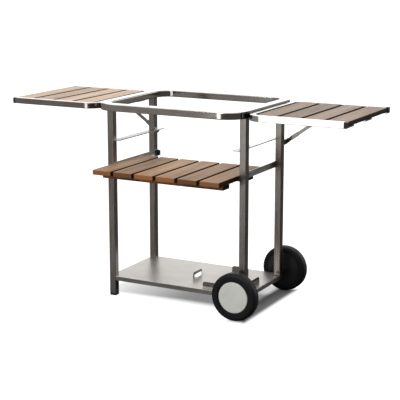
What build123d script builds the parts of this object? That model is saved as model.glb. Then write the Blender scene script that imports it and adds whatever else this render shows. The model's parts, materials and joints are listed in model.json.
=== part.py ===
from build123d import *
import math
import os

os.makedirs("parts", exist_ok=True)

# Clearances
seat_gap = 0.3
running_gap = 0.05

# Main frame of square tube
trolley_height = 860.0
leg_spacing_x = 630.4
leg_spacing_y = 347.6
leg_tube = 30.0
leg_wall = 1.5
leg_corner = 2.5
left_leg_foot_height = 8.5
right_leg_end_height = 72.0
plug_end_thickness = 3.0
plug_insert_length = 18.0
plug_corner = 1.0

# Top ring that the plancha sits in
ring_bar = 45.0
ring_height = 30.0
ring_length_y = 571.6
ring_corner = 100.0
ring_edge = 2.0
ring_wall = 1.5
ring_vent_radius = 5.0

# Folded lower shelf and the tabs that hold the gas bottle
shelf_top = 89.0
shelf_lip = 19.5
shelf_sheet = 1.5
tab_circle_inset_x = 155.2
tab_circle_y = -26.0
tab_circle_radius = 139.0
tab_thickness = 2.5
tab_height = 28.0
tab_length = 80.0
tab_corner = 12.0
tab_side_shares = ((0, -1), (0, 1), (-1, 0), (1, 0))

# Flat runners above the middle shelf
runner_depth = 136.0
runner_width = 32.0
runner_thickness = 4.0

# Angle rails that carry the sliding shelf
board_depth = 102.0
board_thickness = 21.0
rail_sheet = 2.5
rail_stand_up = 3.0
rail_flange = 14.5
rail_stop_length = 14.0

# Sliding shelf of boards on two battens
board_count = 6
board_gap = 12.5
shelf_side_gap = 1.2
board_length = 398.0
board_bevel = 1.2
shelf_front_y = -361.0
batten_inset_y = 60.0
batten_inset_x = 12.5
batten_width = 56.0
batten_thickness = 22.0

# Folding flaps
flap_tube = 25.0
flap_wall = 1.5
flap_edge = 2.0
flap_drop = 8.0
flap_gap = 3.0
flap_length_y = 496.0
flap_corner = 65.0
slat_count = 4
slat_width = 87.0
slat_gap = 14.0
slat_thickness = 20.0
slat_end_gap = 1.0
front_flat_width = 63.0
middle_flat_width = 75.0
rear_flat_width = 12.0
end_cap_length = 12.0
end_cap_proud = 2.0
end_cap_insert = 12.0

# Screws for boards and slats
screw_head_radius = 4.0
screw_head_height = 2.2
screw_shank_radius = 2.0
screw_grip = 12.0

# Butt hinges between ring and flap
hinge_length = 60.0
hinge_offset_y = 120.0
hinge_leaf = 2.0
hinge_leaf_width = 28.0
knuckle_radius = 4.5
hinge_pin_radius = 2.5
knuckle_shares = (0.25, 0.75)

# Stays that prop the flaps
stay_rise_degrees = 34.9
stay_offset_y = 36.2
stay_depth = 152.8
stay_width = 14.5
stay_thickness = 4.0
stay_bar_start = 7.0
stay_end_width = 17.5
stay_end_thickness = 9.0
stay_end_length = 16.0
stay_sleeve_start = 28.0
stay_sleeve_length = 38.0
stay_sleeve_width = 17.5
stay_sleeve_thickness = 7.0
stay_pin_radius = 4.0
stay_pin_head_radius = 7.0
stay_pin_head = 3.0
stay_pin_grip = 6.0
stay_block_width = 14.0
stay_block_height = 20.0
stay_block_corner = 2.0

# Wheels on stub axles
wheel_radius = 100.0
wheel_width = 48.0
wheel_plane_y = 250.0
tyre_shoulder = 11.0
tyre_seat_radius = 73.0
hub_cap_radius = 67.0
hub_cap_thickness = 3.0
hub_cap_bevel = 1.5
hub_cap_recess = 2.0
hub_web = 12.0
hub_rim_thickness = 8.0
hub_boss_radius = 22.0
hub_boss_length = 30.0
axle_radius = 5.0
axle_end = 3.0
spacer_radius = 11.0
axle_nut_width = 17.0
nut_turn = 30.0
axle_nut_height = 8.0
axle_tail = 3.0
keeper_radius = 11.0
keeper_height = 4.0

# Places worked out from the sizes above
leg_x = leg_spacing_x / 2
leg_y = leg_spacing_y / 2
leg_outer_x = leg_x + leg_tube / 2
leg_outer_y = leg_y + leg_tube / 2
leg_inner_x = leg_x - leg_tube / 2
leg_inner_y = leg_y - leg_tube / 2
ring_low = trolley_height - ring_height
ring_half_x = leg_inner_x + ring_bar
ring_half_y = ring_length_y / 2
tab_circle_x = leg_x - tab_circle_inset_x
runner_top = ring_low - runner_depth
board_top = runner_top - board_depth
board_low = board_top - board_thickness
rail_ledge = board_low - seat_gap
rail_low = rail_ledge - rail_sheet
rail_inner_x = leg_inner_x - rail_sheet
shelf_half_x = rail_inner_x - shelf_side_gap
board_width = (2 * shelf_half_x - (board_count - 1) * board_gap) / board_count
board_pitch = board_width + board_gap
board_middle_y = shelf_front_y + board_length / 2
batten_y = board_length / 2 - batten_inset_y - batten_width / 2
flap_top = trolley_height - flap_drop
flap_low = flap_top - flap_tube
slat_low = flap_top - slat_thickness
flap_inner_x = ring_half_x + flap_gap
slat_pitch = slat_width + slat_gap
flap_length_x = flap_tube + slat_count * slat_pitch
flap_outer_x = flap_inner_x + flap_length_x
flap_half_y = flap_length_y / 2
flap_side_inner_y = flap_half_y - flap_tube
hinge_x = ring_half_x + flap_gap / 2
hinge_z = flap_low - seat_gap - knuckle_radius
flap_end_x = flap_outer_x + end_cap_proud - end_cap_length
stay_plane_y = leg_outer_y + stay_offset_y
stay_pivot_x = leg_outer_x - stay_block_width / 2
stay_pivot_z = flap_low - stay_depth
stay_length = stay_depth / math.sin(math.radians(stay_rise_degrees))
block_face_y = stay_plane_y - stay_end_thickness / 2 - seat_gap
wheel_inner_y = wheel_plane_y - wheel_width / 2
origin_shift_y = -(shelf_front_y + ring_half_y) / 2


def span_box(low, high):
    """A box between two opposite corners."""
    size = [b - a for a, b in zip(low, high)]
    middle = [(a + b) / 2 for a, b in zip(low, high)]
    return Pos(*middle) * Box(*size)


def rod(radius, start_y, end_y, x, z):
    """A cylinder along the depth of the trolley."""
    length = abs(end_y - start_y)
    return Pos(x, (start_y + end_y) / 2, z) * Rot(90, 0, 0) * Cylinder(radius, length)


def post(radius, low, high, x, y):
    """An upright cylinder."""
    return Pos(x, y, (low + high) / 2) * Cylinder(radius, high - low)


def hex_post(radius, low, high, x, y):
    """An upright six-sided rod."""
    return Pos(x, y, low) * extrude(RegularPolygon(radius, 6), high - low)


def square_section(side, corner):
    """A square with its corners taken off."""
    outline = Rectangle(side, side)
    return chamfer(outline.vertices(), corner)


def rounded_plate(half_x, half_y, corner, low, high):
    """A level plate with rounded corners in plan."""
    outline = RectangleRounded(2 * half_x, 2 * half_y, corner)
    return Pos(0, 0, low) * extrude(outline, high - low)


def tube_ring(half_x, half_y, corner, bar, low, high, wall, edge):
    """A closed ring of rectangular tube, bent round at its corners."""
    outside = rounded_plate(half_x, half_y, corner, low, high)
    inside = rounded_plate(half_x - bar, half_y - bar, corner - bar, low, high)
    solid = outside - inside
    level_edges = solid.edges().group_by(Axis.Z)
    solid = chamfer(level_edges[0] + level_edges[-1], edge)
    far = bar - wall
    void = rounded_plate(half_x - wall, half_y - wall, corner - wall, low + wall, high - wall)
    void -= rounded_plate(half_x - far, half_y - far, corner - far, low + wall, high - wall)
    return solid - void


def mirrored(shape):
    """The same shape on the other side of the trolley."""
    return mirror(shape, about=Plane.YZ)


def save(node, shape):
    """Write one named piece in the trolley's own frame."""
    placed = Pos(0, origin_shift_y, 0) * shape
    placed.label = node
    export_step(placed, "parts/" + node + ".step")


def save_pair(node, shape):
    """Write a piece of the right side and its match on the left."""
    save("right_" + node, shape)
    save("left_" + node, mirrored(shape))


def leg(low):
    """A square tube leg standing on the origin's axis."""
    inner_side = leg_tube - 2 * leg_wall
    section = square_section(leg_tube, leg_corner)
    section -= square_section(inner_side, leg_corner - leg_wall)
    return Pos(0, 0, low) * extrude(section, ring_low - low)


def leg_plug(tube_end, end_thickness):
    """A plastic plug with a square head, pushed into a tube's lower end."""
    insert_side = leg_tube - 2 * leg_wall - 2 * seat_gap
    head = Pos(0, 0, tube_end - end_thickness)
    head *= extrude(square_section(leg_tube, leg_corner), end_thickness)
    insert = Pos(0, 0, tube_end)
    insert *= extrude(square_section(insert_side, plug_corner), plug_insert_length)
    return head + insert


def group(shapes):
    """Several separate solids kept together as one node."""
    return Compound([solid for shape in shapes for solid in shape.solids()])


def build_legs():
    """Four legs, with axle holes on the right and pin holes at the rear."""
    for side, x in (("left", -leg_x), ("right", leg_x)):
        low = left_leg_foot_height if side == "left" else right_leg_end_height
        for end, y in (("front", -leg_y), ("rear", leg_y)):
            tube = Pos(x, y, 0) * leg(low)
            if side == "right":
                tube -= rod(axle_radius + seat_gap, y - leg_tube, y + leg_tube, x, wheel_radius)
            if end == "rear":
                hole_x = math.copysign(stay_pivot_x, x)
                tube -= rod(stay_pin_radius + seat_gap, y, y + leg_tube, hole_x, stay_pivot_z)
            save(side + "_" + end + "_leg", tube)
    feet = [Pos(-leg_x, y, 0) * leg_plug(left_leg_foot_height, left_leg_foot_height)
            for y in (-leg_y, leg_y)]
    save("left_foot_plugs", group(feet))
    plugs = [Pos(leg_x, y, 0) * leg_plug(right_leg_end_height, plug_end_thickness)
             for y in (-leg_y, leg_y)]
    save("right_leg_plugs", group(plugs))


def build_ring():
    """The top ring, vented into the legs below it."""
    ring = tube_ring(ring_half_x, ring_half_y, ring_corner, ring_bar,
                     ring_low, trolley_height, ring_wall, ring_edge)
    for x in (-leg_x, leg_x):
        for y in (-leg_y, leg_y):
            ring -= post(ring_vent_radius, ring_low - ring_wall, ring_low + 2 * ring_wall, x, y)
    save("top_ring", ring)


def tab_places():
    """Where the gas bottle's four tabs stand, and how each is turned."""
    places = []
    for along_x, along_y in tab_side_shares:
        x = tab_circle_x + along_x * tab_circle_radius
        y = tab_circle_y + along_y * tab_circle_radius
        places.append(Pos(x, y, 0) * Rot(0, 0, 90 * abs(along_x)))
    return places


def build_lower_shelf():
    """A folded tray, notched round the legs and slotted for the tabs."""
    low = shelf_top - shelf_lip
    tray = span_box((-leg_outer_x, -leg_outer_y, low), (leg_outer_x, leg_outer_y, shelf_top))
    tray = chamfer(tray.edges().group_by(Axis.Z)[-1], shelf_sheet)
    inside_x = leg_outer_x - shelf_sheet
    inside_y = leg_outer_y - shelf_sheet
    tray -= span_box((-inside_x, -inside_y, low), (inside_x, inside_y, shelf_top - shelf_sheet))
    notch = leg_tube + seat_gap
    for x in (-leg_outer_x, leg_outer_x):
        for y in (-leg_outer_y, leg_outer_y):
            tray -= Pos(x, y, low) * Box(2 * notch, 2 * notch, 2 * shelf_lip + shelf_sheet)
    slot = Pos(0, 0, shelf_top) * Box(tab_length, tab_thickness, 2 * shelf_lip)
    for place in tab_places():
        tray -= place * slot
    save("lower_shelf", tray)


def build_bottle_tabs():
    """Four upright plates, each standing in its slot in the lower shelf."""
    plate = span_box((-tab_length / 2, -tab_thickness / 2, shelf_top - shelf_sheet),
                     (tab_length / 2, tab_thickness / 2, shelf_top + tab_height))
    plate = fillet(plate.edges().filter_by(Axis.Y).group_by(Axis.Z)[-1], tab_corner)
    save("bottle_tabs", group([place * plate for place in tab_places()]))


def build_runners_and_rails():
    """Flat upper runners, and angle rails with a stop at the rear end."""
    runner = span_box((leg_inner_x - runner_width, -leg_outer_y, runner_top - runner_thickness),
                      (leg_inner_x, leg_outer_y, runner_top))
    save("upper_runners", group([runner, mirrored(runner)]))
    rail = span_box((rail_inner_x, -leg_outer_y, rail_low),
                    (leg_inner_x, leg_outer_y, board_top + rail_stand_up))
    rail += span_box((leg_inner_x - rail_flange, -leg_outer_y, rail_low),
                     (leg_inner_x, leg_outer_y, rail_ledge))
    save_pair("shelf_rail", rail)
    stop = span_box((leg_inner_x - rail_flange, leg_outer_y - rail_stop_length, rail_ledge),
                    (rail_inner_x, leg_outer_y, board_top))
    save("rail_stops", group([stop, mirrored(stop)]))


def screw(x, y, face_z, shank_top):
    """A screw driven upwards, its head under the given face."""
    head = hex_post(screw_head_radius, face_z - screw_head_height, face_z, x, y)
    return head + hex_post(screw_shank_radius, face_z, shank_top, x, y)


def screw_hole(x, y, low, shank_top):
    """The hole that a screw's shank sits in."""
    return hex_post(screw_shank_radius + seat_gap, low, shank_top + seat_gap, x, y)


def build_sliding_shelf():
    """Boards laid side by side on two battens, screwed from below."""
    batten_low = board_low - batten_thickness
    shank_top = board_low + screw_grip
    board_xs = [-shelf_half_x + board_width / 2 + k * board_pitch for k in range(board_count)]
    batten_ys = [board_middle_y + side * batten_y for side in (-1, 1)]
    for number, x in enumerate(board_xs, 1):
        board = span_box((x - board_width / 2, shelf_front_y, board_low),
                         (x + board_width / 2, shelf_front_y + board_length, board_top))
        board = chamfer(board.edges(), board_bevel)
        for y in batten_ys:
            board -= screw_hole(x, y, board_low, shank_top)
        save("shelf_board_" + str(number), board)
    half = shelf_half_x - batten_inset_x
    battens = []
    for y in batten_ys:
        batten = span_box((-half, y - batten_width / 2, batten_low),
                          (half, y + batten_width / 2, board_low))
        for x in board_xs:
            batten -= screw_hole(x, y, batten_low, board_low)
        battens.append(batten)
    save("shelf_battens", group(battens))
    screws = [screw(x, y, batten_low, shank_top) for x in board_xs for y in batten_ys]
    save("shelf_screws", group(screws))


def flap_opening(gap, low, high):
    """The space inside a flap's frame, drawn in by a gap."""
    plate = rounded_plate(flap_length_x - flap_tube - gap, flap_side_inner_y - gap,
                          flap_corner - flap_tube - gap, low, high)
    return Pos(flap_outer_x, 0, 0) * plate


def flat_spans():
    """Depth spans of the front, middle and rear flats under the slats."""
    edge = flap_side_inner_y - seat_gap
    return [(-edge, front_flat_width - edge),
            (-middle_flat_width / 2, middle_flat_width / 2),
            (edge - rear_flat_width, edge)]


def build_flap_frame():
    """A bent tube open at its outer end, with a cap in each open end."""
    frame = tube_ring(flap_length_x, flap_half_y, flap_corner, flap_tube,
                      flap_low, flap_top, flap_wall, flap_edge)
    frame = Pos(flap_outer_x, 0, 0) * frame
    frame -= span_box((flap_end_x, -flap_length_y, 0),
                      (flap_outer_x + flap_length_x, flap_length_y, trolley_height))
    save_pair("flap_frame", frame)
    insert_side = flap_tube - 2 * flap_wall - 2 * seat_gap
    caps = []
    for side in (-1, 1):
        middle_y = side * (flap_half_y - flap_tube / 2)
        middle_z = flap_low + flap_tube / 2
        face = Plane(origin=(flap_end_x, middle_y, middle_z), z_dir=(1, 0, 0))
        head = extrude(face * square_section(flap_tube, flap_edge), end_cap_length)
        insert = extrude(face * square_section(insert_side, plug_corner), -end_cap_insert)
        caps.append(head + insert)
    save_pair("flap_end_caps", group(caps))


def build_flap_deck():
    """Flats across the frame, slats on them, and the screws between."""
    inner_x = flap_inner_x + flap_tube
    slat_xs = [inner_x + slat_gap + slat_width / 2 + k * slat_pitch for k in range(slat_count)]
    spans = flat_spans()
    screw_ys = [(low_y + high_y) / 2 for low_y, high_y in spans]
    shank_top = slat_low + screw_grip
    flats = []
    for low_y, high_y in spans:
        flat = span_box((inner_x, low_y, flap_low), (flap_outer_x, high_y, slat_low))
        flat &= flap_opening(seat_gap, flap_low, slat_low)
        for x in slat_xs:
            flat -= screw_hole(x, (low_y + high_y) / 2, flap_low, slat_low)
        flats.append(flat)
    save_pair("flap_flats", group(flats))
    half_y = flap_side_inner_y - slat_end_gap
    for number, x in enumerate(slat_xs, 1):
        slat = span_box((x - slat_width / 2, -half_y, slat_low), (x + slat_width / 2, half_y, flap_top))
        slat = chamfer(slat.edges(), board_bevel)
        slat &= flap_opening(slat_end_gap, slat_low, flap_top)
        for y in screw_ys:
            slat -= screw_hole(x, y, slat_low, shank_top)
        save_pair("flap_slat_" + str(number), slat)
    screws = [screw(x, y, flap_low, shank_top) for x in slat_xs for y in screw_ys]
    save_pair("flap_screws", group(screws))


def build_hinges():
    """Two butt hinges under the joint between the ring and a flap."""
    fixed = []
    moving = []
    pins = []
    web_x = hinge_x - knuckle_radius
    leaf_x = hinge_x + knuckle_radius + seat_gap
    for middle_y in (-hinge_offset_y, hinge_offset_y):
        start = middle_y - hinge_length / 2
        end = middle_y + hinge_length / 2
        first, second = [start + share * hinge_length for share in knuckle_shares]
        bore = rod(hinge_pin_radius + running_gap, start - seat_gap, end + seat_gap, hinge_x, hinge_z)
        leaf = span_box((web_x - hinge_leaf_width, start, ring_low - hinge_leaf),
                        (web_x + hinge_leaf, end, ring_low))
        for low_y, high_y in ((start, first - seat_gap), (second + seat_gap, end)):
            leaf += rod(knuckle_radius, low_y, high_y, hinge_x, hinge_z)
            leaf += span_box((web_x, low_y, hinge_z), (web_x + hinge_leaf, high_y, ring_low))
        fixed.append(leaf - bore)
        leaf = span_box((leaf_x, start, flap_low - hinge_leaf),
                        (leaf_x + hinge_leaf_width, end, flap_low))
        leaf += rod(knuckle_radius, first, second, hinge_x, hinge_z)
        leaf += span_box((hinge_x, first, flap_low - hinge_leaf), (leaf_x, second, flap_low))
        moving.append(leaf - bore)
        pins.append(rod(hinge_pin_radius, start, end, hinge_x, hinge_z))
    save("ring_hinge_leaves", group(fixed + [mirrored(piece) for piece in fixed]))
    save_pair("flap_hinge_leaves", group(moving))
    save("hinge_pins", group(pins + [mirrored(piece) for piece in pins]))


def stay_slab(start, end, width, thickness):
    """A flat bar along the stay, measured from its pivot."""
    slab = span_box((start, -thickness / 2, -width / 2), (end, thickness / 2, width / 2))
    return Pos(stay_pivot_x, stay_plane_y, stay_pivot_z) * Rot(0, -stay_rise_degrees, 0) * slab


def build_stays():
    """A flat bar in a short eye end, with a sleeve near the pivot."""
    bar = stay_slab(stay_bar_start, stay_length + stay_width, stay_width, stay_thickness)
    bar -= span_box((0, 0, flap_low - seat_gap), (flap_outer_x, flap_length_y, trolley_height))
    save_pair("stay_bar", bar)
    pocket_width = stay_width + 2 * seat_gap
    pocket_thickness = stay_thickness + 2 * seat_gap
    sleeve_end = stay_sleeve_start + stay_sleeve_length
    sleeve = stay_slab(stay_sleeve_start, sleeve_end, stay_sleeve_width, stay_sleeve_thickness)
    sleeve -= stay_slab(stay_sleeve_start, sleeve_end, pocket_width, pocket_thickness)
    save_pair("stay_sleeve", sleeve)
    near_y = stay_plane_y - stay_end_thickness / 2
    far_y = stay_plane_y + stay_end_thickness / 2
    end_piece = stay_slab(0, stay_end_length, stay_end_width, stay_end_thickness)
    end_piece += rod(stay_end_width / 2, near_y, far_y, stay_pivot_x, stay_pivot_z)
    end_piece -= stay_slab(stay_bar_start - seat_gap, stay_end_length, pocket_width, pocket_thickness)
    end_piece -= rod(stay_pin_radius + running_gap, near_y, far_y, stay_pivot_x, stay_pivot_z)
    save_pair("stay_end", end_piece)


def build_stay_blocks():
    """Blocks beside the rear legs, each held by the headed pin that a stay turns on."""
    half_z = stay_block_height / 2
    block = span_box((leg_outer_x - stay_block_width, leg_outer_y, stay_pivot_z - half_z),
                     (leg_outer_x, block_face_y, stay_pivot_z + half_z))
    block = chamfer(block.edges().filter_by(Axis.Y), stay_block_corner)
    block -= rod(stay_pin_radius + seat_gap, leg_outer_y, block_face_y, stay_pivot_x, stay_pivot_z)
    save("stay_blocks", group([block, mirrored(block)]))
    start_y = leg_outer_y - stay_pin_grip
    head_y = stay_plane_y + stay_end_thickness / 2 + seat_gap
    pin = rod(stay_pin_radius, start_y, head_y, stay_pivot_x, stay_pivot_z)
    pin += rod(stay_pin_head_radius, head_y, head_y + stay_pin_head, stay_pivot_x, stay_pivot_z)
    save("stay_pins", group([pin, mirrored(pin)]))


def wheel_rod(radius, start_y, end_y):
    """A cylinder on the wheels' axis."""
    return rod(radius, start_y, end_y, leg_x, wheel_radius)


def turned(corners):
    """A ring or disc turned on the wheels' axis from its (radius, depth) corners."""
    section = make_face(Polyline(*corners, close=True))
    return Pos(leg_x, 0, wheel_radius) * revolve(section, Axis.Y)


def wheel_pieces():
    """Tyre, hub and hub cap of the rear wheel."""
    outer_y = wheel_inner_y + wheel_width
    tread_radius = wheel_radius - tyre_shoulder
    tyre = [(tyre_seat_radius, wheel_inner_y), (tread_radius, wheel_inner_y),
            (wheel_radius, wheel_inner_y + tyre_shoulder),
            (wheel_radius, outer_y - tyre_shoulder),
            (tread_radius, outer_y), (tyre_seat_radius, outer_y)]
    cap_y = outer_y - hub_cap_recess
    cap_back_y = cap_y - hub_cap_thickness
    cap = [(0, cap_back_y), (hub_cap_radius, cap_back_y), (hub_cap_radius, cap_y - hub_cap_bevel),
           (hub_cap_radius - hub_cap_bevel, cap_y), (0, cap_y)]
    bore_radius = axle_radius + running_gap
    rim_radius = tyre_seat_radius - seat_gap
    rim_inner_radius = rim_radius - hub_rim_thickness
    web_y = wheel_inner_y + hub_web
    boss_y = wheel_inner_y + hub_boss_length
    rim_y = cap_back_y - seat_gap
    hub = [(bore_radius, wheel_inner_y), (rim_radius, wheel_inner_y), (rim_radius, rim_y),
           (rim_inner_radius, rim_y), (rim_inner_radius, web_y), (hub_boss_radius, web_y),
           (hub_boss_radius, boss_y), (bore_radius, boss_y)]
    return {"tyre": turned(tyre), "hub": turned(hub), "hub_cap": turned(cap)}


def axle_pieces():
    """Axle, spacer, nut and keeper of the rear wheel."""
    keeper_y = wheel_inner_y + hub_boss_length + seat_gap
    nut_y = leg_inner_y - axle_nut_height
    axle = wheel_rod(axle_radius, nut_y - axle_tail, keeper_y + keeper_height + axle_end)
    spacer = wheel_rod(spacer_radius, leg_outer_y, wheel_inner_y - seat_gap)
    spacer -= wheel_rod(axle_radius + seat_gap, leg_outer_y, wheel_inner_y)
    keeper = wheel_rod(keeper_radius, keeper_y, keeper_y + keeper_height)
    keeper -= wheel_rod(axle_radius + seat_gap, keeper_y, keeper_y + keeper_height)
    hexagon = Plane(origin=(leg_x, nut_y, wheel_radius), z_dir=(0, 1, 0), x_dir=(0, 0, 1))
    outline = RegularPolygon(axle_nut_width / 2, 6, major_radius=False, rotation=nut_turn)
    nut = extrude(hexagon * outline, axle_nut_height)
    nut -= wheel_rod(axle_radius + seat_gap, nut_y, leg_inner_y)
    return {"wheel_axles": axle, "axle_spacers": spacer, "axle_keepers": keeper, "axle_nuts": nut}


def build_wheels():
    """A wheel on a stub axle outside each right leg."""
    for name, piece in wheel_pieces().items():
        save("rear_" + name, piece)
        save("front_" + name, mirror(piece, about=Plane.XZ))
    for name, piece in axle_pieces().items():
        save(name, group([piece, mirror(piece, about=Plane.XZ)]))


build_legs()
build_ring()
build_lower_shelf()
build_bottle_tabs()
build_runners_and_rails()
build_sliding_shelf()
build_flap_frame()
build_flap_deck()
build_hinges()
build_stays()
build_stay_blocks()
build_wheels()
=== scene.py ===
import json
import math

import bmesh
import bpy
from mathutils import Matrix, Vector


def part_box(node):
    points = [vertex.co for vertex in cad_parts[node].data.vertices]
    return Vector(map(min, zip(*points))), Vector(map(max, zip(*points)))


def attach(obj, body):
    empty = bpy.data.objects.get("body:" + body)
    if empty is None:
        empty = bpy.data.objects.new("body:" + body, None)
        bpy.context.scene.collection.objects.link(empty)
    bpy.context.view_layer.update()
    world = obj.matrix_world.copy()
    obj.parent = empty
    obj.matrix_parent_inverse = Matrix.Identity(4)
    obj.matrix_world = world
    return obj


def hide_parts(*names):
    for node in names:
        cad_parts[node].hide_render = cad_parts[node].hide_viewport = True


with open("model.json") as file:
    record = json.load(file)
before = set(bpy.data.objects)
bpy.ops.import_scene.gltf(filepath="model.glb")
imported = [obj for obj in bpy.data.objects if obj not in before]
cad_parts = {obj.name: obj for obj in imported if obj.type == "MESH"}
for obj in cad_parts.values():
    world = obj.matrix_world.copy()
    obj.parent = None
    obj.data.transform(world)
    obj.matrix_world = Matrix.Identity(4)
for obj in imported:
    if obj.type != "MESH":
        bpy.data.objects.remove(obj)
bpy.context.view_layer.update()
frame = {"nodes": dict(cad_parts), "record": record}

nodes = frame["nodes"]
bodies = frame["record"]["behaviour"]["bodies"]
body_of = {node: body for body, members in bodies.items() for node in members}
slot_of = {part["node"]: part["material_slot"] for part in frame["record"]["subparts"]}

# Axes of the trolley: x to the wheels, y to the back, z up
x_axis, y_axis, z_axis = 0, 1, 2

# Counts of the boards and slats
board_count = 6
slat_count = 4

# Sizes of the pieces that are shaped here, in metres
board_edge = 0.0028
slat_edge = 0.0040
slat_corner = 0.030
ring_corner = 0.100
ring_bar = 0.045
ring_edge = 0.005
flap_corner = 0.065
flap_bar = 0.025
flap_edge = 0.0022
leg_corner = 0.0032
end_cap_edge = 0.0025
stop_edge = 0.0018
stop_side_gap = 0.0025
tab_half_length = 0.040
tab_sheet = 0.0025
tab_corner = 0.012
tab_edge = 0.0006
tyre_seat = 0.073
tyre_shoulder = 0.013
disc_rim_gap = 0.0018
disc_crown = 0.0012
disc_edge = 0.0022
touching = 1e-6

# Bends that count as corners, in radians
soft_corner = 0.6
square_corner = 1.2
sharp_corner = math.radians(50)

# Steps of the rounded forms
bend_steps = 24
slat_corner_steps = 10
tab_corner_steps = 8
tyre_shoulder_steps = 7
tube_edge_steps = 5
small_edge_steps = 4
board_edge_steps = 3
tab_edge_steps = 2
disc_cuts = 5
wheel_steps = 96

# Patterns: how many times each repeats in a metre
even = (1.0, 1.0, 1.0)
brush_across = 420.0
brush_along = 6.0
cloud_repeat = 7.0
grain_repeats = (41.6, 2.72, 64.0)
fibre_repeats = (330.0, 7.0, 330.0)
pore_repeat = 420.0
highlight_mottle_repeat = 90.0
dulling_repeat = 22.0

# The middle span of a pattern, where most of it lies
pattern_span = (0.3, 0.7)

# Heights of the small bumps, in metres
steel_bumps = 0.0003
plastic_bumps = 0.0003
wood_bumps = 0.0008

# Brushed steel: the clouds' share of its pattern, the span of that pattern from dark to light, how far a
# face turns to the right before painted shade darkens it, and the height up the legs over which painted
# shade darkens them
cloud_share = 0.45
steel_span = (0.36, 0.62)
right_shade_turn = (0.35, 0.70)
leg_shade_height = (0.05, 0.55)

# Wood: the fine fibre's share of its grain, the span of the grain from dark to light, its roughness and
# its relief, and how far the grain may move from board to board, in metres
fibre_share = 0.4
grain_span = (0.33, 0.64)
wood_rough = (0.48, 0.68)
grain_relief = 0.35
grain_move = 7.0

# Wood's sides and ends: how far a face turns before it is one, how much painted shade darkens the sides
# and eased edges, how much of the dark grain's brightness it leaves, the wood's gloss and how much of it
# the shaded sides lose, and how bright the pores of the ends are
side_turn = (0.40, 0.75)
end_turn = (0.60, 0.85)
side_shade_share = 0.95
side_shade_brightness = 0.16
wood_gloss = 0.5
gloss_lost = 0.45
pore_share = 0.6

# The boards' own shades, darkest and lightest, on their faces and on their ends
face_shades = (0.86, 1.12)
end_shades = (0.45, 1.05)

# The tabs: where the rear, right and left ones lie, how much painted shade darkens them, and its colours
rear_tab_depth = (0.12, 0.14)
right_tab_across = (0.28, 0.29)
left_tab_across = 0.1
tab_shade_share = 0.75
right_tab_shade_share = 0.93
shaded_tab = (0.06, 0.055, 0.05)
darkest_shaded_tab = (0.03, 0.028, 0.026)

# The left tab's painted highlight: how far a face turns to the right to have it, its half width and its
# height over the floor, each with its soft edge, how far its shading leans upwards, and its colours
highlight_turn = 0.95
highlight_half_width = (0.0310, 0.0345)
highlight_height = (0.1035, 0.1075)
highlight_tilt = (0.0, 0.0, 0.38)
highlight_low_colour = (0.90, 0.90, 0.90)
highlight_high_colour = (1.0, 1.0, 1.0)

# Plastic: the brightness left where it is dulled, and how far its roughness falls and rises
dulled_share = 0.9
rough_fall = 0.05
rough_rise = 0.06

# Light and shade on the floor as the camera sees it: white round the trolley, and inside its shadow a
# painted light that lightens it most to the left and at the back, and not at the right end. Each fade gives
# the level at its start and at its end, then its start and end in metres.
shadow_lift_left = (0.62, 0.24, -0.32, 0.04)
shadow_lift_back = (0.0, 0.55, 0.10, 0.21)
shadow_lift_right_end = (1.0, 0.0, 0.265, 0.300)
white_right = (0.0, 1.0, 0.350, 0.385)
white_left = (1.0, 0.0, -0.42, -0.30)
white_back = (0.0, 1.0, 0.27, 0.34)
white_front = (1.0, 0.0, -0.13, -0.01)
white_front_right_end = (1.0, 0.0, 0.27, 0.33)
white_far_front = (1.0, 0.0, -0.27, -0.20)
floor_grey = (0.30, 0.30, 0.30)
floor_half = 60.0

# The floor as the steel mirrors it: lighter to the left, and in a patch far to the right
mirrored_fade = (0.0, 1.0, -3.0, 1.2)
mirrored_left = (0.25, 0.24, 0.235)
mirrored_right = (0.08, 0.078, 0.076)
far_patch_across = (0.0, 1.0, 2.45, 2.75)
far_patch_depth = (0.0, 1.0, 3.6, 4.6)
far_patch_colour = (0.22, 0.21, 0.20)

# Light from the studio's walls and ceiling, as fades over the parts of a direction
ceiling = (0.0, 1.75, 0.42, 0.72)
wall_behind = (0.0, 1.0, 0.35, 0.80)
wall_left = (1.0, 0.0, 0.45, 0.85)
wall_height = (2.2, 0.4, 0.30, 0.50)
side_light = (0.28, 0.05, -0.8, 0.1)
studio_level = 0.8

# The camera of the reference view: its place in metres, its turn in radians, its lens and film in mm
camera_place = (2.3865, -4.3888, 1.5283)
camera_turn = (1.35464, 0.0, 0.4912)
camera_lens = 106.8
camera_film = 36.0
camera_reach = 200.0


# Material building blocks

def new_material(name):
    """A material with its node tree and its shader."""
    material = bpy.data.materials.new(name)
    material.use_nodes = True
    tree = material.node_tree
    return material, tree, tree.nodes["Principled BSDF"]


def add_node(tree, kind, **settings):
    """A node of the given kind with its settings."""
    node = tree.nodes.new("ShaderNode" + kind)
    for key, value in settings.items():
        setattr(node, key, value)
    return node


def plug(tree, value, socket):
    """Link a socket, or set a plain number or colour on it."""
    if hasattr(value, "links"):
        tree.links.new(value, socket)
    elif isinstance(value, tuple) and socket.type == "RGBA":
        socket.default_value = (*value, 1)
    else:
        socket.default_value = value


def mapped(tree, vector, scale):
    """Coordinates stretched by a scale."""
    mapping = add_node(tree, "Mapping")
    mapping.inputs["Scale"].default_value = scale
    tree.links.new(vector, mapping.inputs["Vector"])
    return mapping.outputs["Vector"]


def stretched(tree, scale):
    """Object coordinates stretched by a scale."""
    return mapped(tree, add_node(tree, "TexCoord").outputs["Object"], scale)


def noise(tree, vector, scale, detail, rough):
    """A noise pattern on the given coordinates."""
    node = add_node(tree, "TexNoise")
    node.inputs["Scale"].default_value = scale
    node.inputs["Detail"].default_value = detail
    node.inputs["Roughness"].default_value = rough
    tree.links.new(vector, node.inputs["Vector"])
    return node.outputs["Fac"]


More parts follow.
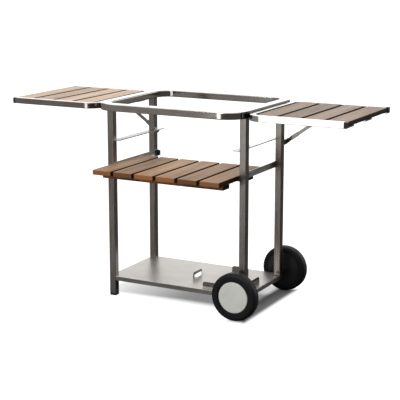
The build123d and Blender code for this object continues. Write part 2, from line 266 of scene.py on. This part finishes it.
def ramp(tree, value, stops):
    """Colours spread over a value from 0 to 1."""
    node = add_node(tree, "ValToRGB")
    first, last = node.color_ramp.elements[0], node.color_ramp.elements[-1]
    first.position, first.color = stops[0][0], (*stops[0][1], 1)
    last.position, last.color = stops[-1][0], (*stops[-1][1], 1)
    for position, colour in stops[1:-1]:
        node.color_ramp.elements.new(position).color = (*colour, 1)
    tree.links.new(value, node.inputs["Fac"])
    return node.outputs["Color"]


def blended(tree, share, first, second):
    """Two colours or values mixed by a share."""
    node = add_node(tree, "Mix", data_type="RGBA", blend_type="MIX")
    for socket, value in ((node.inputs[0], share), (node.inputs[6], first), (node.inputs[7], second)):
        plug(tree, value, socket)
    return node.outputs[2]


def reckon(tree, operation, first, second=0.0):
    """One step of arithmetic."""
    node = add_node(tree, "Math", operation=operation)
    plug(tree, first, node.inputs[0])
    plug(tree, second, node.inputs[1])
    return node.outputs[0]


def product(tree, *values):
    """Values multiplied in turn."""
    total = values[0]
    for value in values[1:]:
        total = reckon(tree, "MULTIPLY", total, value)
    return total


def greatest(tree, *values):
    """The greatest of some values."""
    total = values[0]
    for value in values[1:]:
        total = reckon(tree, "MAXIMUM", total, value)
    return total


def spread(tree, value, low, high, from_low=0.0, from_high=1.0):
    """A value moved smoothly from one span to another."""
    node = add_node(tree, "MapRange", interpolation_type="SMOOTHSTEP")
    tree.links.new(value, node.inputs["Value"])
    for name, number in (("From Min", from_low), ("From Max", from_high),
                         ("To Min", low), ("To Max", high)):
        node.inputs[name].default_value = number
    return node.outputs["Result"]


def parted(tree, vector):
    """The three shares of a direction or place."""
    node = add_node(tree, "SeparateXYZ")
    tree.links.new(vector, node.inputs["Vector"])
    return node.outputs["X"], node.outputs["Y"], node.outputs["Z"]


def scaled(tree, vector, scale):
    """A colour or direction times a number."""
    node = add_node(tree, "VectorMath", operation="SCALE")
    plug(tree, vector, node.inputs[0])
    plug(tree, scale, node.inputs["Scale"])
    return node.outputs[0]


def summed(tree, first, second):
    """Two places or directions added."""
    node = add_node(tree, "VectorMath", operation="ADD")
    tree.links.new(first, node.inputs[0])
    tree.links.new(second, node.inputs[1])
    return node.outputs[0]


def relief(tree, shader, height, strength, distance):
    """Small bumps from a height."""
    bump = add_node(tree, "Bump")
    bump.inputs["Strength"].default_value = strength
    bump.inputs["Distance"].default_value = distance
    tree.links.new(height, bump.inputs["Height"])
    tree.links.new(bump.outputs["Normal"], shader.inputs["Normal"])


# Finishes of the trolley

def brushed_steel(name, along, dark, light, rough, depth=0.10,
                  right_shade_kept=1.0, right_shade_from=-1.0, leg_top_shade_kept=1.0):
    """Stainless steel brushed along one axis and faintly clouded.

    Painted shade: faces turned to the right keep the given share of their brightness where x is past the
    given start, and the top of a leg keeps the given share of it.
    """
    material, tree, shader = new_material(name)
    repeats = [brush_across] * 3
    repeats[along] = brush_along
    lines = noise(tree, stretched(tree, repeats), 1.0, detail=3.0, rough=0.6)
    clouds = noise(tree, stretched(tree, even), cloud_repeat, detail=3.0, rough=0.6)
    mixed = blended(tree, cloud_share, lines, clouds)
    bright = ramp(tree, mixed, tuple(zip(steel_span, (dark, light))))
    place = add_node(tree, "TexCoord")
    sideways, _, _ = parted(tree, place.outputs["Normal"])
    across, _, up = parted(tree, place.outputs["Object"])
    # Painted shade: faces turned to the right, past the start, and the upper legs are darkened
    beyond = reckon(tree, "GREATER_THAN", across, right_shade_from)
    shade_and_dulling = product(tree, spread(tree, sideways, 0.0, 1.0 - right_shade_kept, *right_shade_turn), beyond)
    kept = product(tree, reckon(tree, "SUBTRACT", 1.0, shade_and_dulling), spread(tree, up, 1.0, leg_top_shade_kept, *leg_shade_height))
    tree.links.new(scaled(tree, bright, kept), shader.inputs["Base Color"])
    tree.links.new(spread(tree, lines, *rough, *pattern_span), shader.inputs["Roughness"])
    shader.inputs["Metallic"].default_value = 1.0
    relief(tree, shader, lines, depth, steel_bumps)
    return material


def oiled_wood(name, first_board, last_board, count, light, dark, end_colour):
    """Oiled hardwood with its grain along the boards, a shade of its own for each board of a row, and
    painted shade on its sides.
    """
    low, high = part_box(first_board)
    pitch = (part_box(last_board)[0][x_axis] - low[x_axis]) / (count - 1)
    start = low[x_axis] - (pitch - (high[x_axis] - low[x_axis])) / 2
    material, tree, shader = new_material(name)
    place = add_node(tree, "TexCoord").outputs["Object"]
    across, _, _ = parted(tree, place)
    board = reckon(tree, "FLOOR", reckon(tree, "DIVIDE", reckon(tree, "SUBTRACT", across, start), pitch))
    own = add_node(tree, "TexWhiteNoise", noise_dimensions="1D")
    tree.links.new(board, own.inputs["W"])
    moved = summed(tree, place, scaled(tree, own.outputs["Color"], grain_move))
    figure = noise(tree, mapped(tree, moved, grain_repeats), 1.0, detail=5.0, rough=0.6)
    fibre = noise(tree, mapped(tree, moved, fibre_repeats), 1.0, detail=3.0, rough=0.65)
    grain = blended(tree, fibre_share, figure, fibre)
    middle = tuple((a + b) / 2 for a, b in zip(light, dark))
    colour = ramp(tree, grain, ((grain_span[0], dark), (0.5, middle), (grain_span[1], light)))
    planed = scaled(tree, colour, spread(tree, own.outputs["Value"], *face_shades))
    sideways, facing, _ = parted(tree, add_node(tree, "TexCoord").outputs["Normal"])
    # Painted shade: the boards' sides and eased edges are darkened and lose gloss, so the gaps read dark
    side_share = spread(tree, reckon(tree, "ABSOLUTE", sideways), 0.0, side_shade_share, *side_turn)
    side_shaded = blended(tree, side_share, planed, tuple(c * side_shade_brightness for c in dark))
    end_share = spread(tree, reckon(tree, "ABSOLUTE", facing), 0.0, 1.0, *end_turn)
    pores = noise(tree, stretched(tree, even), pore_repeat, detail=2.0, rough=0.6)
    pore_colour = tuple(c * pore_share for c in end_colour)
    porous = ramp(tree, pores, tuple(zip(pattern_span, (pore_colour, end_colour))))
    end_grain = scaled(tree, porous, spread(tree, own.outputs["Value"], *end_shades))
    gloss = reckon(tree, "SUBTRACT", wood_gloss, product(tree, side_share, gloss_lost))
    tree.links.new(gloss, shader.inputs["Specular IOR Level"])
    tree.links.new(blended(tree, end_share, side_shaded, end_grain), shader.inputs["Base Color"])
    tree.links.new(spread(tree, fibre, *wood_rough, *pattern_span), shader.inputs["Roughness"])
    relief(tree, shader, grain, grain_relief, wood_bumps)
    return material


def tab_steel():
    """Bent-up sheet: the front tab bright, the rear, right and left tabs darkened with painted shade, and a
    painted highlight low on the left tab's right face.
    """
    low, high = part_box("bottle_tabs")
    middle_y = (low[y_axis] + high[y_axis]) / 2
    material = brushed_steel(
        "Tab steel", x_axis, dark=(0.50, 0.455, 0.41), light=(0.74, 0.69, 0.63), rough=(0.12, 0.20),
        depth=0.04)
    tree = material.node_tree
    shader = tree.nodes["Principled BSDF"]
    place = add_node(tree, "TexCoord")
    sideways, _, _ = parted(tree, place.outputs["Normal"])
    across, depth, up = parted(tree, place.outputs["Object"])
    plain = shader.inputs["Base Color"].links[0].from_socket
    # Painted shade: the rear, right and left tabs are darkened copies of the steel
    rear = spread(tree, depth, 0.0, tab_shade_share, *rear_tab_depth)
    right = spread(tree, across, 0.0, right_tab_shade_share, *right_tab_across)
    left = reckon(tree, "LESS_THAN", across, left_tab_across)
    base = blended(tree, rear, plain, shaded_tab)
    base = blended(tree, right, base, darkest_shaded_tab)
    base = blended(tree, product(tree, left, tab_shade_share), base, shaded_tab)
    # Painted highlight: a bright, mottled patch low on the left tab's right face, its shading leaned upwards
    facing_right = reckon(tree, "GREATER_THAN", sideways, highlight_turn)
    low_down = spread(tree, up, 1.0, 0.0, *highlight_height)
    from_middle = reckon(tree, "ABSOLUTE", reckon(tree, "SUBTRACT", depth, middle_y))
    near_middle = spread(tree, from_middle, 1.0, 0.0, *highlight_half_width)
    painted_highlight = product(tree, facing_right, left, low_down, near_middle)
    highlight_mottle = noise(tree, place.outputs["Object"], highlight_mottle_repeat, detail=2.0, rough=0.5)
    bright = ramp(tree, highlight_mottle, tuple(zip(pattern_span, (highlight_low_colour, highlight_high_colour))))
    tree.links.new(blended(tree, painted_highlight, base, bright), shader.inputs["Base Color"])
    tilted = summed(tree, place.outputs["Normal"], scaled(tree, highlight_tilt, painted_highlight))
    evened = add_node(tree, "VectorMath", operation="NORMALIZE")
    tree.links.new(tilted, evened.inputs[0])
    tree.links.new(evened.outputs[0], shader.inputs["Normal"])
    return material


def plastic(name, colour, rough, grain_repeat=900.0, strength=0.15, shine=0.5):
    """Moulded plastic or rubber with a fine grain and slight dulling."""
    material, tree, shader = new_material(name)
    fine = noise(tree, stretched(tree, even), grain_repeat, detail=2.0, rough=0.5)
    shade_and_dulling = noise(tree, stretched(tree, even), dulling_repeat, detail=3.0, rough=0.5)
    dulled_colour = tuple(c * dulled_share for c in colour)
    shade = ramp(tree, shade_and_dulling, tuple(zip(pattern_span, (dulled_colour, colour))))
    tree.links.new(shade, shader.inputs["Base Color"])
    roughness = spread(tree, shade_and_dulling, rough - rough_fall, rough + rough_rise, *pattern_span)
    tree.links.new(roughness, shader.inputs["Roughness"])
    shader.inputs["Specular IOR Level"].default_value = shine
    relief(tree, shader, fine, strength, plastic_bumps)
    return material


materials = {
    # Painted shade on faces turned to the right, and on the legs' upper parts, through the shares given
    # below
    "leg_steel": brushed_steel(
        "Leg steel", z_axis, dark=(0.37, 0.335, 0.305), light=(0.53, 0.495, 0.465),
        rough=(0.24, 0.38), depth=0.08, right_shade_kept=0.75, leg_top_shade_kept=0.70),
    "ring_steel": brushed_steel(
        "Ring steel", x_axis, dark=(0.42, 0.39, 0.37), light=(0.58, 0.55, 0.52),
        rough=(0.10, 0.15), depth=0.015, right_shade_kept=0.12, right_shade_from=0.33),
    # The flap frames are one steel: the left copy is darker, as painted shade, and the right copy lighter,
    # as a painted reflection
    "left_frame_steel": brushed_steel(
        "Left flap frame steel with painted shade", x_axis, dark=(0.32, 0.28, 0.26), light=(0.45, 0.40, 0.375),
        rough=(0.14, 0.19), depth=0.015, right_shade_kept=0.5),
    "right_frame_steel": brushed_steel(
        "Right flap frame steel with painted reflection", x_axis, dark=(0.60, 0.57, 0.54), light=(0.76, 0.73, 0.70),
        rough=(0.14, 0.19), depth=0.015, right_shade_kept=0.2, right_shade_from=0.30),
    "shelf_steel": brushed_steel(
        "Shelf sheet steel", x_axis, dark=(0.38, 0.359, 0.333), light=(0.505, 0.479, 0.452),
        rough=(0.30, 0.44)),
    "rail_steel": brushed_steel(
        "Rail steel", y_axis, dark=(0.54, 0.52, 0.50), light=(0.72, 0.70, 0.68),
        rough=(0.26, 0.38)),
    "steel": brushed_steel(
        "Fitting steel", y_axis, dark=(0.32, 0.30, 0.28), light=(0.49, 0.47, 0.45),
        rough=(0.22, 0.34)),
    "black_plastic": plastic("Black moulded plastic", (0.012, 0.012, 0.013), rough=0.45),
    "tyre": plastic(
        "Tyre rubber", (0.0060, 0.0060, 0.0072), rough=0.60,
        grain_repeat=700.0, strength=0.2, shine=0.32),
    "hub_cap": plastic(
        "Grey hub cap", (0.88, 0.88, 0.82), rough=0.42,
        grain_repeat=1200.0, strength=0.06),
    "shelf_wood": oiled_wood(
        "Shelf board wood", "shelf_board_1", "shelf_board_6", board_count,
        light=(0.41, 0.25, 0.132), dark=(0.165, 0.078, 0.031), end_colour=(0.45, 0.165, 0.04)),
    # The flaps' slats are one wood: the left copy is paler, as painted light, and the right copy darker, as
    # painted shade
    "left_flap_wood": oiled_wood(
        "Left flap wood with painted light", "left_flap_slat_4", "left_flap_slat_1", slat_count,
        light=(0.58, 0.43, 0.32), dark=(0.37, 0.25, 0.16), end_colour=(0.40, 0.24, 0.13)),
    "right_flap_wood": oiled_wood(
        "Right flap wood with painted shade", "right_flap_slat_1", "right_flap_slat_4", slat_count,
        light=(0.35, 0.25, 0.18), dark=(0.14, 0.092, 0.060), end_colour=(0.30, 0.16, 0.08)),
}


# The finishes on the solid parts

for node, part in nodes.items():
    part.data.materials.clear()
    part.data.materials.append(materials[slot_of[node]])


# Shaping helpers

def bevelled(shape, edges, width, segments):
    """Round the given edges."""
    bmesh.ops.bevel(shape, geom=edges, offset=width, offset_type="OFFSET", affect="EDGES",
                    segments=segments, profile=0.5, material=-1, clamp_overlap=True)


def block(shape, low, high):
    """A block between two opposite corners, added to a shape."""
    size = [b - a for a, b in zip(low, high)]
    middle = [(a + b) / 2 for a, b in zip(low, high)]
    place = Matrix.Translation(middle) @ Matrix.Diagonal((*size, 1))
    bmesh.ops.create_cube(shape, size=1.0, matrix=place)


def edges_along(shape, axis):
    """The straight edges that run along one axis."""
    others = [k for k in range(3) if k != axis]
    return [edge for edge in shape.edges
            if all(abs(edge.verts[0].co[k] - edge.verts[1].co[k]) < touching for k in others)]


def settle(shape, name, node, finish=None):
    """Turn a shape into a finished piece that stands for its node."""
    bmesh.ops.remove_doubles(shape, verts=shape.verts[:], dist=touching)
    bmesh.ops.recalc_face_normals(shape, faces=shape.faces[:])
    for face in shape.faces:
        face.smooth = True
    mesh = bpy.data.meshes.new(name)
    shape.to_mesh(mesh)
    shape.free()
    mesh.set_sharp_from_angle(angle=sharp_corner)
    mesh.materials.append(finish or materials[slot_of[node]])
    piece = bpy.data.objects.new(name, mesh)
    bpy.context.scene.collection.objects.link(piece)
    shading = piece.modifiers.new("Even shading", "WEIGHTED_NORMAL")
    shading.keep_sharp = True
    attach(piece, body_of[node])
    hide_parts(node)


# Boards and slats

def make_board(node, edge):
    """A planed board with its edges and ends eased."""
    shape = bmesh.new()
    block(shape, *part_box(node))
    bevelled(shape, shape.edges[:], edge, board_edge_steps)
    settle(shape, node + "_eased", node)


def make_first_slat(side):
    """The slat beside the hinge, its two corners rounded to fit the bent frame."""
    node = side + "_flap_slat_1"
    low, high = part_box(node)
    inner_x = low[x_axis] if side == "right" else high[x_axis]
    shape = bmesh.new()
    block(shape, low, high)
    corners = [edge for edge in edges_along(shape, z_axis) if abs(edge.verts[0].co.x - inner_x) < touching]
    bevelled(shape, corners, slat_corner, slat_corner_steps)
    rims = [edge for edge in shape.edges
            if len(edge.link_faces) == 2 and edge.calc_face_angle() > soft_corner]
    bevelled(shape, rims, slat_edge, small_edge_steps)
    settle(shape, node + "_eased", node)


# Bent tubes

def bent_ring(low, high, corner, bar, edge):
    """A closed ring of tube: a rounded plate with its middle taken out."""
    shape = bmesh.new()
    block(shape, low, high)
    bevelled(shape, edges_along(shape, z_axis), corner, bend_steps)
    for level in (low[z_axis], high[z_axis]):
        lid = [face for face in shape.faces
               if all(abs(vert.co.z - level) < touching for vert in face.verts)]
        bmesh.ops.inset_region(shape, faces=lid, thickness=bar, depth=0.0, use_even_offset=True)
    lids = [face for face in shape.faces if len(face.verts) > 2 * bend_steps]
    bmesh.ops.delete(shape, geom=lids, context="FACES_ONLY")
    loops = [edge for edge in shape.edges if len(edge.link_faces) == 1]
    bmesh.ops.bridge_loops(shape, edges=loops)
    rims = [edge for edge in shape.edges if len(edge.link_faces) == 2
            and abs(edge.verts[0].co.z - edge.verts[1].co.z) < touching
            and edge.calc_face_angle() > square_corner]
    bevelled(shape, rims, edge, tube_edge_steps)
    return shape


def make_ring():
    """The top ring of bent tube."""
    low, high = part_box("top_ring")
    settle(bent_ring(low, high, ring_corner, ring_bar, ring_edge), "top_ring_bent", "top_ring")


def make_flap_frame(side):
    """A flap's bent tube: a ring twice as long, cut off square at the flap's open end."""
    node = side + "_flap_frame"
    low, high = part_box(node)
    length = high[x_axis] - low[x_axis]
    outward = 1 if side == "right" else -1
    end_x = high[x_axis] if side == "right" else low[x_axis]
    far_low = (min(low[x_axis], low[x_axis] + outward * length), low[y_axis], low[z_axis])
    far_high = (max(high[x_axis], high[x_axis] + outward * length), high[y_axis], high[z_axis])
    shape = bent_ring(far_low, far_high, flap_corner, flap_bar, flap_edge)
    everything = shape.verts[:] + shape.edges[:] + shape.faces[:]
    bmesh.ops.bisect_plane(shape, geom=everything, dist=touching, plane_co=(end_x, 0, 0),
                           plane_no=(outward, 0, 0), clear_outer=True)
    bmesh.ops.holes_fill(shape, edges=[edge for edge in shape.edges if len(edge.link_faces) == 1])
    settle(shape, node + "_bent", node)


# Legs, caps, stops and tabs

def make_leg(node):
    """An upright square tube with rounded corners."""
    shape = bmesh.new()
    block(shape, *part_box(node))
    bevelled(shape, edges_along(shape, z_axis), leg_corner, small_edge_steps)
    settle(shape, node + "_rolled", node)


def make_end_caps(side):
    """The two black caps in the open ends of a flap's tube."""
    node = side + "_flap_end_caps"
    low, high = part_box(node)
    frame_low, frame_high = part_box(side + "_flap_frame")
    tube = high[z_axis] - low[z_axis]
    if side == "right":
        near_x, far_x = frame_high[x_axis], high[x_axis]
    else:
        near_x, far_x = low[x_axis], frame_low[x_axis]
    shape = bmesh.new()
    for low_y, high_y in ((low[y_axis], low[y_axis] + tube), (high[y_axis] - tube, high[y_axis])):
        block(shape, (near_x, low_y, low[z_axis]), (far_x, high_y, high[z_axis]))
    bevelled(shape, shape.edges[:], end_cap_edge, small_edge_steps)
    settle(shape, node + "_moulded", node)


def make_stops():
    """The two black stops at the rear of the shelf's rails."""
    low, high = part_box("rail_stops")
    rail_low, rail_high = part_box("right_shelf_rail")
    width = rail_high[x_axis] - rail_low[x_axis] - stop_side_gap
    shape = bmesh.new()
    for low_x, high_x in ((low[x_axis], low[x_axis] + width), (high[x_axis] - width, high[x_axis])):
        block(shape, (low_x, low[y_axis], low[z_axis]), (high_x, high[y_axis], high[z_axis]))
    bevelled(shape, shape.edges[:], stop_edge, board_edge_steps)
    settle(shape, "rail_stops_moulded", "rail_stops")


def add_tab(shape, axis, near, far):
    """One bent-up tab across an axis, its top corners rounded, added to a shape."""
    low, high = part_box("bottle_tabs")
    middle = [(a + b) / 2 for a, b in zip(low, high)]
    corner = [middle[x_axis] - tab_half_length, middle[y_axis] - tab_half_length, low[z_axis]]
    other = [middle[x_axis] + tab_half_length, middle[y_axis] + tab_half_length, high[z_axis]]
    corner[axis], other[axis] = near, far
    tab = bmesh.new()
    block(tab, corner, other)
    tops = [edge for edge in edges_along(tab, axis) if edge.verts[0].co.z > high[z_axis] - touching]
    bevelled(tab, tops, tab_corner, tab_corner_steps)
    rims = [edge for edge in tab.edges if edge.calc_face_angle() > square_corner]
    bevelled(tab, rims, tab_edge, tab_edge_steps)
    joined = bpy.data.meshes.new("tab")
    tab.to_mesh(joined)
    tab.free()
    shape.from_mesh(joined)
    bpy.data.meshes.remove(joined)


def make_tabs():
    """The four tabs that keep a gas bottle in its place."""
    low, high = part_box("bottle_tabs")
    shape = bmesh.new()
    for axis in (x_axis, y_axis):
        add_tab(shape, axis, low[axis], low[axis] + tab_sheet)
        add_tab(shape, axis, high[axis] - tab_sheet, high[axis])
    settle(shape, "bottle_tabs_rounded", "bottle_tabs", tab_steel())


# Wheels

def turned_about_axle(shape, centre):
    """Turn a section, drawn as (radius, depth) in the XY plane, about a wheel's axle."""
    section = shape.verts[:] + shape.edges[:]
    bmesh.ops.spin(shape, geom=section, cent=(0, 0, 0), axis=(0, 1, 0), angle=math.tau,
                   steps=wheel_steps, use_merge=True, use_normal_flip=False)
    bmesh.ops.translate(shape, verts=shape.verts[:], vec=centre)


def make_tyre(end):
    """A solid tyre with rounded shoulders."""
    node = end + "_tyre"
    low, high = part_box(node)
    centre = ((low[x_axis] + high[x_axis]) / 2, 0, (low[z_axis] + high[z_axis]) / 2)
    radius = (high[x_axis] - low[x_axis]) / 2
    section_size = Matrix.Diagonal((radius - tyre_seat, high[y_axis] - low[y_axis], 1, 1))
    section_place = Matrix.Translation(((tyre_seat + radius) / 2, (low[y_axis] + high[y_axis]) / 2, 0))
    shape = bmesh.new()
    grid = bmesh.ops.create_grid(shape, x_segments=1, y_segments=1, size=0.5,
                                 matrix=section_place @ section_size)
    outer = [vert for vert in grid["verts"] if vert.co.x > radius - touching]
    bmesh.ops.bevel(shape, geom=outer, offset=tyre_shoulder, affect="VERTICES",
                    segments=tyre_shoulder_steps, profile=0.5, material=-1)
    bmesh.ops.delete(shape, geom=shape.faces[:], context="FACES_ONLY")
    turned_about_axle(shape, centre)
    settle(shape, node + "_turned", node)


def make_hub_cap(end):
    """A satin disc with a rounded rim and a slight crown."""
    node = end + "_hub_cap"
    low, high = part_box(node)
    outward = 1 if end == "rear" else -1
    face_y, back_y = (high[y_axis], low[y_axis]) if end == "rear" else (low[y_axis], high[y_axis])
    centre = ((low[x_axis] + high[x_axis]) / 2, 0, (low[z_axis] + high[z_axis]) / 2)
    radius = (high[x_axis] - low[x_axis]) / 2 - disc_rim_gap
    outline = ((0, back_y), (radius, back_y), (radius, face_y), (0, face_y + outward * disc_crown))
    shape = bmesh.new()
    corners = [shape.verts.new((from_axle, depth, 0)) for from_axle, depth in outline]
    for pair in zip(corners[:-1], corners[1:]):
        shape.edges.new(pair)
    bmesh.ops.bevel(shape, geom=[corners[2]], offset=disc_edge, affect="VERTICES",
                    segments=small_edge_steps, profile=0.5, material=-1)
    long_edges = [edge for edge in shape.edges if edge.calc_length() > radius / 2]
    bmesh.ops.subdivide_edges(shape, edges=long_edges, cuts=disc_cuts)
    turned_about_axle(shape, centre)
    settle(shape, node + "_turned", node)


for number in range(1, board_count + 1):
    make_board("shelf_board_" + str(number), board_edge)
for side in ("left", "right"):
    make_first_slat(side)
    for number in range(2, slat_count + 1):
        make_board(side + "_flap_slat_" + str(number), slat_edge)
    make_flap_frame(side)
    make_end_caps(side)
    make_leg(side + "_front_leg")
    make_leg(side + "_rear_leg")
make_ring()
make_stops()
make_tabs()
for end in ("front", "rear"):
    make_tyre(end)
    make_hub_cap(end)


# Floor, light and camera

def shown_lift(tree, across, depth):
    """How far the floor is lifted towards white, as the camera sees it: to white round the trolley's shadow,
    and partly inside it as painted light.
    """
    # Painted light inside the shadow, weaker to the right and none at the right end
    shade = greatest(tree, spread(tree, across, *shadow_lift_left), spread(tree, depth, *shadow_lift_back))
    under = product(tree, shade, spread(tree, across, *shadow_lift_right_end))
    front = product(tree, spread(tree, depth, *white_front), spread(tree, across, *white_front_right_end))
    return greatest(tree, under, spread(tree, across, *white_right), spread(tree, across, *white_left),
                    spread(tree, depth, *white_back), front, spread(tree, depth, *white_far_front))


def mirrored_floor(tree, across, depth):
    """The floor's dim colour in reflections."""
    dim = ramp(tree, spread(tree, across, *mirrored_fade), ((0.0, mirrored_left), (1.0, mirrored_right)))
    far_right = product(tree, spread(tree, across, *far_patch_across), spread(tree, depth, *far_patch_depth))
    return blended(tree, far_right, dim, far_patch_colour)


def studio_floor():
    """A pale floor that reads as white where no shadow falls, and dimmer in reflections."""
    shape = bmesh.new()
    bmesh.ops.create_grid(shape, x_segments=1, y_segments=1, size=floor_half)
    mesh = bpy.data.meshes.new("floor")
    shape.to_mesh(mesh)
    shape.free()
    floor = bpy.data.objects.new("floor", mesh)
    bpy.context.scene.collection.objects.link(floor)
    material = bpy.data.materials.new("Pale floor")
    material.use_nodes = True
    tree = material.node_tree
    tree.nodes.clear()
    seen = add_node(tree, "LightPath").outputs["Is Camera Ray"]
    across, depth, _ = parted(tree, add_node(tree, "TexCoord").outputs["Object"])
    glow = add_node(tree, "Emission")
    tree.links.new(product(tree, seen, shown_lift(tree, across, depth)), glow.inputs["Strength"])
    matt = add_node(tree, "BsdfDiffuse")
    colour = blended(tree, seen, mirrored_floor(tree, across, depth), floor_grey)
    tree.links.new(colour, matt.inputs["Color"])
    both = add_node(tree, "AddShader")
    out = add_node(tree, "OutputMaterial")
    tree.links.new(glow.outputs[0], both.inputs[0])
    tree.links.new(matt.outputs[0], both.inputs[1])
    tree.links.new(both.outputs[0], out.inputs["Surface"])
    mesh.materials.append(material)


def studio_light():
    """A broad light overhead, a bright backdrop, and two softer lamps at the front left."""
    world = bpy.data.worlds.new("Studio")
    bpy.context.scene.world = world
    world.use_nodes = True
    tree = world.node_tree
    tree.nodes.clear()
    across, depth, up = parted(tree, add_node(tree, "TexCoord").outputs["Generated"])
    backdrop = product(tree, spread(tree, depth, *wall_behind), spread(tree, across, *wall_left),
                       spread(tree, up, *wall_height))
    level = greatest(tree, spread(tree, up, *ceiling), backdrop, spread(tree, across, *side_light))
    seen = add_node(tree, "LightPath").outputs["Is Camera Ray"]
    back = add_node(tree, "Background")
    back.inputs["Color"].default_value = (1, 1, 1, 1)
    tree.links.new(greatest(tree, product(tree, level, studio_level), seen), back.inputs["Strength"])
    out = add_node(tree, "OutputWorld")
    tree.links.new(back.outputs[0], out.inputs["Surface"])
    hang_lamp("front panel", place=(-0.83, -3.9, 0.6), turn=(90, 0, 0), size=(1.25, 1.2), power=13.0)
    hang_lamp("front softbox", place=(-0.6, -3.6, 3.4), turn=(50, 0, -8), size=(2.4, 1.6), power=70.0)


def hang_lamp(name, place, turn, size, power):
    """A rectangular lamp, its turn in degrees, its size in metres and its power in watts."""
    lamp = bpy.data.lights.new(name, "AREA")
    lamp.shape = "RECTANGLE"
    lamp.size, lamp.size_y = size
    lamp.energy = power
    holder = bpy.data.objects.new(name, lamp)
    bpy.context.scene.collection.objects.link(holder)
    holder.location = place
    holder.rotation_euler = [math.radians(angle) for angle in turn]


def studio_camera():
    """The camera of the reference view."""
    camera = bpy.data.cameras.new("camera")
    camera.lens = camera_lens
    camera.sensor_width = camera_film
    camera.clip_end = camera_reach
    holder = bpy.data.objects.new("camera", camera)
    bpy.context.scene.collection.objects.link(holder)
    holder.location = camera_place
    holder.rotation_euler = camera_turn
    bpy.context.scene.camera = holder


studio_floor()
studio_light()
studio_camera()
bpy.context.scene.view_settings.view_transform = "Standard"
